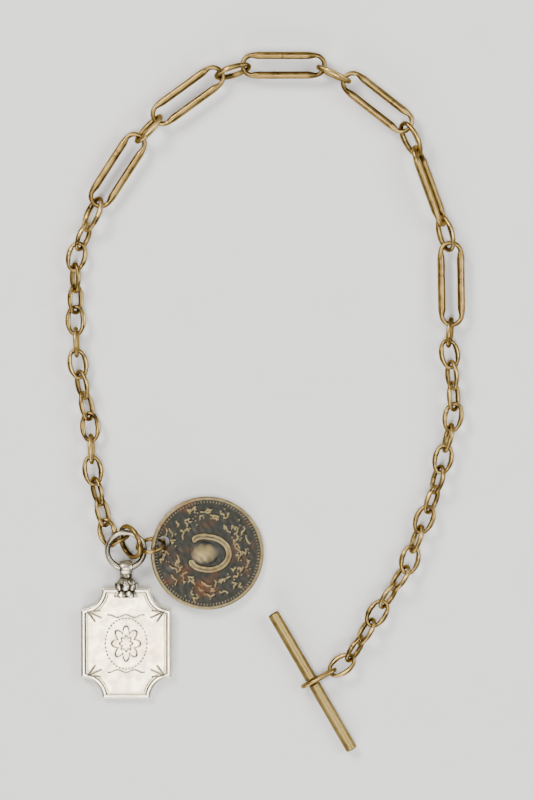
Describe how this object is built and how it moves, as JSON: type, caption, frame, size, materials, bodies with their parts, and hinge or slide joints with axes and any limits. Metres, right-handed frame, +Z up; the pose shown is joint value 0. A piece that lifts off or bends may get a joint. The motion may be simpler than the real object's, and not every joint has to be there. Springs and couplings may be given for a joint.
{
  "type": "pocket watch chain",
  "caption": "Watch chain of long, oval and small links with a T-bar at one end and a silver fob and a pierced coin at the other.",
  "frame": {"origin": "middle of the laid-out chain's outline, on the surface it lies on", "axes": "+Z up from the surface, +Y towards the top of the arch, +X towards the T-bar's side"},
  "size_m": [0.0998, 0.1746, 0.0087],
  "materials": {
    "brass": "worn polish",
    "silver": "scratched satin",
    "bronze": "dark patina"
  },
  "bodies": {
    "top_long_link": {"top_long_link": "brass"},
    "left_oval_1": {"left_oval_1": "brass"},
    "right_oval_1": {"right_oval_1": "brass"},
    "left_long_1": {"left_long_1": "brass"},
    "right_long_1": {"right_long_1": "brass"},
    "left_oval_2": {"left_oval_2": "brass"},
    "right_oval_2": {"right_oval_2": "brass"},
    "left_long_2": {"left_long_2": "brass"},
    "right_long_2": {"right_long_2": "brass"},
    "left_oval_3": {"left_oval_3": "brass"},
    "right_oval_3": {"right_oval_3": "brass"},
    "left_cable_01": {"left_cable_01": "brass"},
    "right_long_3": {"right_long_3": "brass"},
    "left_cable_02": {"left_cable_02": "brass"},
    "right_cable_01": {"right_cable_01": "brass"},
    "left_cable_03": {"left_cable_03": "brass"},
    "right_cable_02": {"right_cable_02": "brass"},
    "left_cable_04": {"left_cable_04": "brass"},
    "right_cable_03": {"right_cable_03": "brass"},
    "left_cable_05": {"left_cable_05": "brass"},
    "right_cable_04": {"right_cable_04": "brass"},
    "left_cable_06": {"left_cable_06": "brass"},
    "right_cable_05": {"right_cable_05": "brass"},
    "left_cable_07": {"left_cable_07": "brass"},
    "right_cable_06": {"right_cable_06": "brass"},
    "left_cable_08": {"left_cable_08": "brass"},
    "right_cable_07": {"right_cable_07": "brass"},
    "left_cable_09": {"left_cable_09": "brass"},
    "right_cable_08": {"right_cable_08": "brass"},
    "left_cable_10": {"left_cable_10": "brass"},
    "right_cable_09": {"right_cable_09": "brass"},
    "left_cable_11": {"left_cable_11": "brass"},
    "right_cable_10": {"right_cable_10": "brass"},
    "left_cable_12": {"left_cable_12": "brass"},
    "right_cable_11": {"right_cable_11": "brass"},
    "left_cable_13": {"left_cable_13": "brass"},
    "right_cable_12": {"right_cable_12": "brass"},
    "left_cable_14": {"left_cable_14": "brass"},
    "right_cable_13": {"right_cable_13": "brass"},
    "left_cable_15": {"left_cable_15": "brass"},
    "right_cable_14": {"right_cable_14": "brass"},
    "corner_jump_ring": {"corner_jump_ring": "brass"},
    "right_cable_15": {"right_cable_15": "brass"},
    "corner_ring": {"corner_ring": "brass"},
    "right_cable_16": {"right_cable_16": "brass"},
    "fob_bow": {"fob_bow": "silver"},
    "right_cable_17": {"right_cable_17": "brass"},
    "coin_jump_ring": {"coin_jump_ring": "brass"},
    "fob": {"fob_collar": "silver", "fob_plate": "silver"},
    "right_cable_18": {"right_cable_18": "brass"},
    "coin": {"coin": "bronze"},
    "bar_drop_link": {"bar_drop_link": "brass"},
    "t_bar": {"t_bar": "brass"}
  },
  "joints": [
    {"name": "left_oval_1_hinge", "type": "hinge", "parent": "top_long_link", "child": "left_oval_1", "pos_m": [-0.0059, 0.08294, 0.0035], "axis": [0.2747, -0.8986, 0.342], "range_deg": [-45, 45]},
    {"name": "right_oval_1_hinge", "type": "hinge", "parent": "top_long_link", "child": "right_oval_1", "pos_m": [0.01506, 0.08251, 0.0035], "axis": [-0.4226, -0.9063, 0], "range_deg": [-45, 45]},
    {"name": "left_long_1_hinge", "type": "hinge", "parent": "left_oval_1", "child": "left_long_1", "pos_m": [-0.01021, 0.08163, 0.0035], "axis": [0.2747, -0.8986, 0.342], "range_deg": [-45, 45]},
    {"name": "right_long_1_hinge", "type": "hinge", "parent": "right_oval_1", "child": "right_long_1", "pos_m": [0.01914, 0.08061, 0.0035], "axis": [0.4226, 0.9063, 0], "range_deg": [-45, 45]},
    {"name": "left_oval_2_hinge", "type": "hinge", "parent": "left_long_1", "child": "left_oval_2", "pos_m": [-0.02747, 0.06957, 0.0035], "axis": [-0.6872, 0.6409, 0.342], "range_deg": [-45, 45]},
    {"name": "right_oval_2_hinge", "type": "hinge", "parent": "right_long_1", "child": "right_oval_2", "pos_m": [0.03528, 0.06742, 0.0035], "axis": [-0.7299, -0.3719, 0.5736], "range_deg": [-45, 45]},
    {"name": "left_long_2_hinge", "type": "hinge", "parent": "left_oval_2", "child": "left_long_2", "pos_m": [-0.03054, 0.06628, 0.0035], "axis": [0.6872, -0.6409, -0.342], "range_deg": [-45, 45]},
    {"name": "right_long_2_hinge", "type": "hinge", "parent": "right_oval_2", "child": "right_long_2", "pos_m": [0.03732, 0.06341, 0.0035], "axis": [-0.7299, -0.3719, 0.5736], "range_deg": [-45, 45]},
    {"name": "left_oval_3_hinge", "type": "hinge", "parent": "left_long_2", "child": "left_oval_3", "pos_m": [-0.04203, 0.04874, 0.00292], "axis": [-0.7524, 0.324, 0.5735], "range_deg": [-45, 45]},
    {"name": "right_oval_3_hinge", "type": "hinge", "parent": "right_long_2", "child": "right_oval_3", "pos_m": [0.04347, 0.04651, 0.0035], "axis": [-0.883, -0.3214, -0.342], "range_deg": [-45, 45]},
    {"name": "left_cable_01_hinge", "type": "hinge", "parent": "left_oval_3", "child": "left_cable_01", "pos_m": [-0.04464, 0.04271, 0.00284], "axis": [-0.803, 0.3244, -0.5], "range_deg": [-45, 45]},
    {"name": "right_long_3_hinge", "type": "hinge", "parent": "right_oval_3", "child": "right_long_3", "pos_m": [0.04553, 0.03971, 0.00342], "axis": [0.7886, 0.2217, -0.5735], "range_deg": [-45, 45]},
    {"name": "left_cable_02_hinge", "type": "hinge", "parent": "left_cable_01", "child": "left_cable_02", "pos_m": [-0.0466, 0.03785, 0.00284], "axis": [0.0039, 0.017, -0.9998], "range_deg": [-10, 30]},
    {"name": "right_cable_01_hinge", "type": "hinge", "parent": "right_long_3", "child": "right_cable_01", "pos_m": [0.04622, 0.01898, 0.00311], "axis": [-0.9794, 0.1029, -0.1736], "range_deg": [-45, 45]},
    {"name": "left_cable_03_hinge", "type": "hinge", "parent": "left_cable_02", "child": "left_cable_03", "pos_m": [-0.04736, 0.03262, 0.00278], "axis": [-0.9062, -0.0158, 0.4226], "range_deg": [-45, 15]},
    {"name": "right_cable_02_hinge", "type": "hinge", "parent": "right_cable_01", "child": "right_cable_02", "pos_m": [0.04585, 0.0155, 0.00311], "axis": [0.9794, -0.1029, 0.1736], "range_deg": [-45, 45]},
    {"name": "left_cable_04_hinge", "type": "hinge", "parent": "left_cable_03", "child": "left_cable_04", "pos_m": [-0.0473, 0.02912, 0.00278], "axis": [0.9062, 0.0158, -0.4226], "range_deg": [-45, 45]},
    {"name": "right_cable_03_hinge", "type": "hinge", "parent": "right_cable_02", "child": "right_cable_03", "pos_m": [0.04642, 0.00837, 0.00311], "axis": [0.8627, 0.0755, -0.5], "range_deg": [-45, 45]},
    {"name": "left_cable_05_hinge", "type": "hinge", "parent": "left_cable_04", "child": "left_cable_05", "pos_m": [-0.04727, 0.02382, 0.00278], "axis": [-0.766, 0, -0.6428], "range_deg": [-45, 45]},
    {"name": "right_cable_04_hinge", "type": "hinge", "parent": "right_cable_03", "child": "right_cable_04", "pos_m": [0.04672, 0.00488, 0.00311], "axis": [0.8627, 0.0755, -0.5], "range_deg": [-45, 45]},
    {"name": "left_cable_06_hinge", "type": "hinge", "parent": "left_cable_05", "child": "left_cable_06", "pos_m": [-0.04721, 0.0185, 0.00278], "axis": [0.2588, 0.0045, -0.9659], "range_deg": [-45, 45]},
    {"name": "right_cable_05_hinge", "type": "hinge", "parent": "right_cable_04", "child": "right_cable_05", "pos_m": [0.04706, -0.00038, 0.00304], "axis": [-0.8186, -0.0329, -0.5735], "range_deg": [-45, 45]},
    {"name": "left_cable_07_hinge", "type": "hinge", "parent": "left_cable_06", "child": "left_cable_07", "pos_m": [-0.04702, 0.01308, 0.00278], "axis": [0.9994, 0.0349, 0], "range_deg": [-45, 45]},
    {"name": "right_cable_06_hinge", "type": "hinge", "parent": "right_cable_05", "child": "right_cable_06", "pos_m": [0.04605, -0.00732, 0.00298], "axis": [-0.9383, 0.2293, 0.2588], "range_deg": [-45, 45]},
    {"name": "left_cable_08_hinge", "type": "hinge", "parent": "left_cable_07", "child": "left_cable_08", "pos_m": [-0.04634, 0.0077, 0.00278], "axis": [0.171, 0.0302, 0.9848], "range_deg": [-45, 45]},
    {"name": "right_cable_07_hinge", "type": "hinge", "parent": "right_cable_06", "child": "right_cable_07", "pos_m": [0.0452, -0.01072, 0.00292], "axis": [-0.9383, 0.2293, 0.2588], "range_deg": [-45, 45]},
    {"name": "left_cable_09_hinge", "type": "hinge", "parent": "left_cable_08", "child": "left_cable_09", "pos_m": [-0.04524, 0.0025, 0.00278], "axis": [-0.8013, -0.1703, 0.5736], "range_deg": [-45, 45]},
    {"name": "right_cable_08_hinge", "type": "hinge", "parent": "right_cable_07", "child": "right_cable_08", "pos_m": [0.04349, -0.01769, 0.00289], "axis": [0.8365, -0.2241, -0.5], "range_deg": [-35, 20]},
    {"name": "left_cable_10_hinge", "type": "hinge", "parent": "left_cable_09", "child": "left_cable_10", "pos_m": [-0.04412, -0.00276, 0.00278], "axis": [-0.8013, -0.1703, -0.5736], "range_deg": [-45, 45]},
    {"name": "right_cable_09_hinge", "type": "hinge", "parent": "right_cable_08", "child": "right_cable_09", "pos_m": [0.04259, -0.02108, 0.00289], "axis": [0.8365, -0.2241, -0.5], "range_deg": [-20, 45]},
    {"name": "left_cable_11_hinge", "type": "hinge", "parent": "left_cable_10", "child": "left_cable_11", "pos_m": [-0.04343, -0.00804, 0.00278], "axis": [0.2578, 0.0226, -0.9659], "range_deg": [-45, 45]},
    {"name": "right_cable_10_hinge", "type": "hinge", "parent": "right_cable_09", "child": "right_cable_10", "pos_m": [0.04095, -0.02602, 0.00295], "axis": [0.7732, -0.2708, 0.5735], "range_deg": [-25, 45]},
    {"name": "left_cable_12_hinge", "type": "hinge", "parent": "left_cable_11", "child": "left_cable_12", "pos_m": [-0.04324, -0.01349, 0.00278], "axis": [-0.9956, -0.0348, -0.0872], "range_deg": [-45, 45]},
    {"name": "right_cable_11_hinge", "type": "hinge", "parent": "right_cable_10", "child": "right_cable_11", "pos_m": [0.03837, -0.03257, 0.00301], "axis": [0.881, -0.327, -0.342], "range_deg": [-15, 40]},
    {"name": "left_cable_13_hinge", "type": "hinge", "parent": "left_cable_12", "child": "left_cable_13", "pos_m": [-0.04269, -0.01886, 0.00278], "axis": [-0.172, -0.0242, -0.9848], "range_deg": [-45, 45]},
    {"name": "right_cable_12_hinge", "type": "hinge", "parent": "right_cable_11", "child": "right_cable_12", "pos_m": [0.03717, -0.03586, 0.00307], "axis": [-0.881, 0.327, 0.342], "range_deg": [-45, 45]},
    {"name": "left_cable_14_hinge", "type": "hinge", "parent": "left_cable_13", "child": "left_cable_14", "pos_m": [-0.04139, -0.02405, 0.00278], "axis": [0.8403, 0.2095, -0.5], "range_deg": [-45, 45]},
    {"name": "right_cable_13_hinge", "type": "hinge", "parent": "right_cable_12", "child": "right_cable_13", "pos_m": [0.03561, -0.04104, 0.00311], "axis": [-0.0842, 0.0226, -0.9962], "range_deg": [-35, 45]},
    {"name": "left_cable_15_hinge", "type": "hinge", "parent": "left_cable_14", "child": "left_cable_15", "pos_m": [-0.03966, -0.03102, 0.00278], "axis": [0.3245, 0.2468, -0.9131], "range_deg": [-45, 30]},
    {"name": "right_cable_14_hinge", "type": "hinge", "parent": "right_cable_13", "child": "right_cable_14", "pos_m": [0.03172, -0.04686, 0.00301], "axis": [0.7263, -0.4717, 0.5], "range_deg": [-20, 25]},
    {"name": "corner_jump_ring_hinge", "type": "hinge", "parent": "left_cable_15", "child": "corner_jump_ring", "pos_m": [-0.03694, -0.03407, 0.00256], "axis": [0.3463, -0.8376, -0.4226], "range_deg": [-30, 20]},
    {"name": "right_cable_15_hinge", "type": "hinge", "parent": "right_cable_14", "child": "right_cable_15", "pos_m": [0.02886, -0.05126, 0.00301], "axis": [0, 0, 1], "range_deg": [-25, 25]},
    {"name": "corner_ring_hinge", "type": "hinge", "parent": "corner_jump_ring", "child": "corner_ring", "pos_m": [-0.03349, -0.03479, 0.00482], "axis": [-0.779, -0.2835, 0.5592], "range_deg": [-35, 0]},
    {"name": "right_cable_16_hinge", "type": "hinge", "parent": "right_cable_15", "child": "right_cable_16", "pos_m": [0.02605, -0.0557, 0.00301], "axis": [0.7423, -0.446, -0.5], "range_deg": [-20, 35]},
    {"name": "fob_bow_hinge", "type": "hinge", "parent": "corner_ring", "child": "fob_bow", "pos_m": [-0.03349, -0.03479, 0.00482], "axis": [0.779, 0.2835, -0.5592], "range_deg": [0, 25]},
    {"name": "right_cable_17_hinge", "type": "hinge", "parent": "right_cable_16", "child": "right_cable_17", "pos_m": [0.02334, -0.06015, 0.00298], "axis": [0.7298, -0.4663, 0.4999], "range_deg": [-25, 20]},
    {"name": "coin_jump_ring_hinge", "type": "hinge", "parent": "fob_bow", "child": "coin_jump_ring", "pos_m": [-0.03464, -0.03699, 0.00427], "axis": [-0.0523, 0.2246, -0.973], "range_deg": [-38, 0]},
    {"name": "fob_hinge", "type": "hinge", "parent": "fob_bow", "child": "fob", "pos_m": [-0.03464, -0.04142, 0.00325], "axis": [-0.9986, -0.0118, 0.051], "range_deg": [-60, 60]},
    {"name": "right_cable_18_hinge", "type": "hinge", "parent": "right_cable_17", "child": "right_cable_18", "pos_m": [0.02149, -0.06312, 0.00292], "axis": [-0.7298, 0.4663, -0.4999], "range_deg": [-45, 45]},
    {"name": "coin_hinge", "type": "hinge", "parent": "coin_jump_ring", "child": "coin", "pos_m": [-0.0276, -0.03567, 0.00369], "axis": [0.1015, -0.8513, -0.5147], "range_deg": [-45, 30]},
    {"name": "bar_drop_link_hinge", "type": "hinge", "parent": "right_cable_18", "child": "bar_drop_link", "pos_m": [0.01768, -0.06664, 0.00265], "axis": [0.2036, -0.1734, -0.9636], "range_deg": [-45, 45]},
    {"name": "t_bar_hinge", "type": "hinge", "parent": "bar_drop_link", "child": "t_bar", "pos_m": [0.01183, -0.06975, 0.0025], "axis": [0, 0, 1], "range_deg": [-25, 30]}
  ]
}
